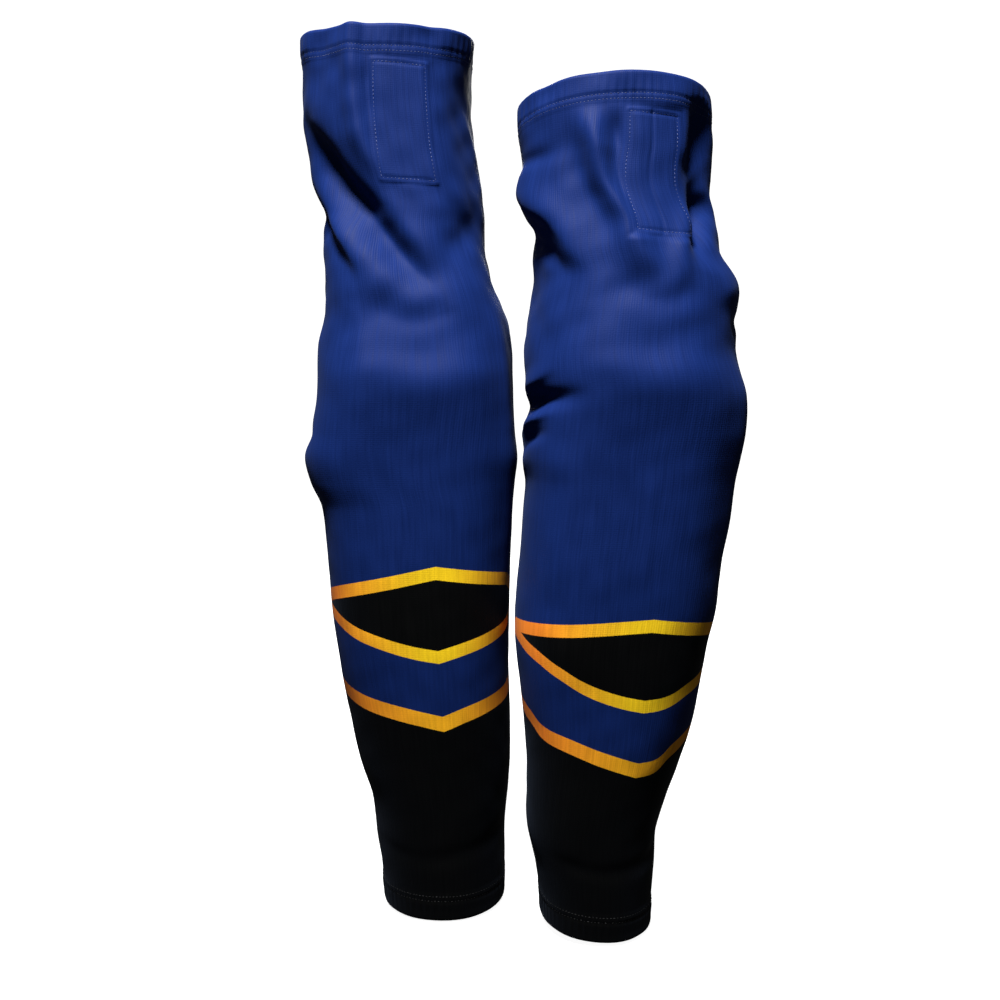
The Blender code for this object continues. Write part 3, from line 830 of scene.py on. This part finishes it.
def patch_grid(sock, front, across_count, up_count):
    """A rounded rectangle of cloth points over a patch."""
    half_w, half_h = PATCH_W / 2, PATCH_H / 2
    gx, gy = np.meshgrid(np.linspace(-1, 1, across_count), np.linspace(-1, 1, up_count))
    bx, by = np.abs(gx) * half_w, np.abs(gy) * half_h
    over_x, over_y = bx - (half_w - PATCH_CORNER), by - (half_h - PATCH_CORNER)
    both = (over_x > 0) & (over_y > 0)
    reach = np.hypot(np.maximum(over_x, 0), np.maximum(over_y, 0))
    square = np.maximum(np.maximum(over_x, over_y), 1e-9)
    shrink = np.where(both, np.minimum(1, square / np.maximum(reach, 1e-9)), 1)
    px = np.sign(gx) * np.where(both, half_w - PATCH_CORNER + over_x * shrink, bx)
    py = np.sign(gy) * np.where(both, half_h - PATCH_CORNER + over_y * shrink, by)
    return patch_cloth(sock, px, py, front)


def make_patch(sock, front, material):
    label = "front" if front else "rear"
    angle, z = patch_grid(sock, front, 40, 76)
    patch = cloth_grid(f"{sock.side}_{label}_patch", sock, angle, z, (material,), False,
                       inset=CLOTH + PATCH_GAP[label], emboss=False)
    add_thickness(patch, PATCH_T)
    return patch


def make_patch_stitching(sock, front, material):
    """The lockstitch round a patch."""
    half_w, half_h = PATCH_W / 2 - PATCH_SEW, PATCH_H / 2 - PATCH_SEW
    n = 60
    s = np.linspace(-1, 1, n)
    across = np.concatenate([s * half_w, np.full(n, half_w), -s * half_w, np.full(n, -half_w)])
    up = np.concatenate([np.full(n, half_h), -s * half_h, np.full(n, -half_h), s * half_h])
    angle, z = patch_cloth(sock, across, up, front)
    label = "front" if front else "rear"
    return stitch_line(f"{sock.side}_{label}_patch_stitches", sock, angle, z, material,
                       pitch=PATCH_PITCH)


def make_back_seam(sock, material, thread_material):
    """The overlocked seam allowance inside the back of the sleeve, and its overlock thread."""
    gap, end_gap, pitch, swing_half = 0.0007, 0.002, 0.0014, 0.0031
    back = sock.turn + 180.0
    low = edge_height(sock, sock.ankle, np.array([back]))[0] + HEM_DEPTH + end_gap
    high = edge_height(sock, sock.top, np.array([back]))[0] - HEM_DEPTH - end_gap
    z = np.linspace(low, high, 330)[:, None]
    across = np.linspace(-SEAM_HALF, SEAM_HALF, 7)[None, :]
    wave = 0.0003 * np.sin(z * 2 * math.pi / (2 * pitch))
    angle = back + np.degrees((across + wave * np.sign(across)) / ARC)
    sink = 0.0004 * (1 - (across / SEAM_HALF) ** 2)
    strip = cloth_grid(f"{sock.side}_back_seam", sock, angle, z, (material,), False,
                       inset=CLOTH + gap + sink, emboss=False)
    add_thickness(strip, SEAM_T)
    zig = np.arange(low, high, pitch)
    swing = np.where(np.arange(len(zig)) % 2 == 0, -swing_half, swing_half)
    place = cloth_surface(sock, back + np.degrees(swing / ARC), zig, inset=CLOTH + 0.0024, emboss=False)
    cx, _ = smooth_rows(sock.outline, zig)
    outs = np.stack([cx - place[:, 0], sock.y - place[:, 1], np.zeros(len(cx))], axis=1)
    outs /= np.linalg.norm(outs, axis=1, keepdims=True)
    lace = stitches(f"{sock.side}_back_seam_overlock", place[:-1], place[1:], outs[:-1], thread_material,
                    radius=0.00028)
    return strip, lace


def bend_at_knee(piece):
    """Bakes the piece's place into its mesh. It is not bent at the knee, nor tied to the thigh or the shin.
    """
    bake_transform(piece)


def build_sock(sock, looks):
    thigh, shin = f"{sock.side}_thigh", f"{sock.side}_shin"
    sleeve = make_sleeve(sock, printed_knit(sock), looks["inside"])
    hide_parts(*sock.names("thigh_tube", "knee_section", "shin_tube"))
    bend_at_knee(sleeve)
    extras = []
    for opening, plane, sign, body, slot, sewing in (
        ("thigh", sock.top, 1, thigh, "blue_hem", looks["blue_thread"]),
        ("ankle", sock.ankle, -1, shin, "black_hem", looks["black_thread"]),
    ):
        hem = make_turned_hem(f"{sock.side}_{opening}_hem_turned", sock, plane, sign, looks["inside"])
        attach(hem, body)
        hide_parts(f"{sock.side}_{opening}_hem")
        rows, looper = make_hem_stitches(sock, opening, plane, sign, sewing)
        for row in rows:
            label = row.name.rsplit("_", 1)[1]
            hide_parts(f"{sock.side}_{opening}_hem_thread_{label}")
        for piece in (*rows, looper):
            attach(piece, body)
        extras += [hem, *rows, looper]
    for front in (True, False):
        label = "front" if front else "rear"
        patch = make_patch(sock, front, looks["pile"])
        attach(patch, thigh)
        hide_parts(f"{sock.side}_{label}_loop_patch")
        sewing = make_patch_stitching(sock, front, looks["pale_thread"])
        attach(sewing, thigh)
        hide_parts(f"{sock.side}_{label}_patch_stitching")
        extras += [patch, sewing]
    seam, lace = make_back_seam(sock, looks["inside"], looks["blue_thread"])
    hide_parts(*sock.names("back_seam_thigh", "back_seam_knee", "back_seam_shin"))
    for piece in (seam, lace):
        bend_at_knee(piece)
    extras += [seam, lace]


# Stage

def add_light(name, place, target, size, watts):
    """A round lamp that faces its target."""
    lamp = bpy.data.lights.new(name, "AREA")
    lamp.shape = "DISK"
    lamp.size = size
    lamp.energy = watts
    obj = bpy.data.objects.new(name, lamp)
    obj.location = place
    away = np.array(place, float) - np.array(target, float)
    yaw = math.atan2(away[0], -away[1])
    pitch = math.atan2(away[2], math.hypot(away[0], away[1]))
    obj.rotation_euler = (math.pi / 2 - pitch, 0, yaw)
    bpy.context.scene.collection.objects.link(obj)


def add_camera():
    data = bpy.data.cameras.new("camera")
    data.lens = CAMERA_LENS
    data.sensor_width = 36
    camera = bpy.data.objects.new("camera", data)
    camera.location = CAMERA_PLACE
    camera.rotation_euler = (math.radians(90 - CAMERA_PITCH), 0, 0)
    bpy.context.scene.collection.objects.link(camera)
    bpy.context.scene.camera = camera


def add_floor():
    """A pale round floor that curves up into a pale wall all round, well clear of the object."""
    radius, rise, steps, turns = 4.0, 1.5, 16, 96
    profile = [(0.01, 0.0), (radius - rise, 0.0)]
    for k in range(1, steps + 1):
        a = math.pi / 2 * k / steps
        profile.append((radius - rise + rise * math.sin(a), rise - rise * math.cos(a)))
    profile.append((radius, 6.0))
    vertices = []
    for reach, height in profile:
        for k in range(turns):
            a = 2 * math.pi * k / turns
            vertices.append((reach * math.cos(a), reach * math.sin(a), height + FLOOR))
    faces = [tuple(face[::-1]) for face in grid_faces(len(profile), turns, True)]
    faces.append(tuple(range(turns)))
    nodes = Nodes("pale_floor")
    nodes.shader.inputs["Emission Color"].default_value = (1, 1, 1, 1)
    nodes.shader.inputs["Emission Strength"].default_value = 0.95
    pale = nodes.finish((0.5, 0.5, 0.5), 0.8, specular=0.1)
    floor = new_object("floor", vertices, faces, (pale,))
    # the floor doesn't brighten the dark cloth from below
    floor.visible_diffuse = False
    floor.visible_glossy = False


def set_world(strength):
    world = bpy.data.worlds.new("studio")
    world.use_nodes = True
    background = world.node_tree.nodes["Background"]
    background.inputs["Color"].default_value = (1, 1, 1, 1)
    background.inputs["Strength"].default_value = strength
    bpy.context.scene.world = world


def main():
    add_camera()
    add_floor()
    set_world(0.06)
    bpy.context.scene.view_settings.view_transform = "Standard"
    add_light("key", place=(-0.24, -0.76, 1.97), target=(0.0, 0.0, 0.38), size=0.48, watts=135)
    add_light("rear_fill", place=(0.1, 2.2, 1.5), target=(0.0, 0.0, 0.35), size=1.2, watts=34)
    looks = {
        "inside": inside_knit(),
        "pile": loop_pile(),
        "blue_thread": thread("blue_thread", THREAD_BLUE),
        "pale_thread": thread("pale_thread", THREAD_PALE),
        "black_thread": thread("black_thread", (0.004, 0.004, 0.004)),
    }
    for sock in SOCKS:
        build_sock(sock, looks)


main()
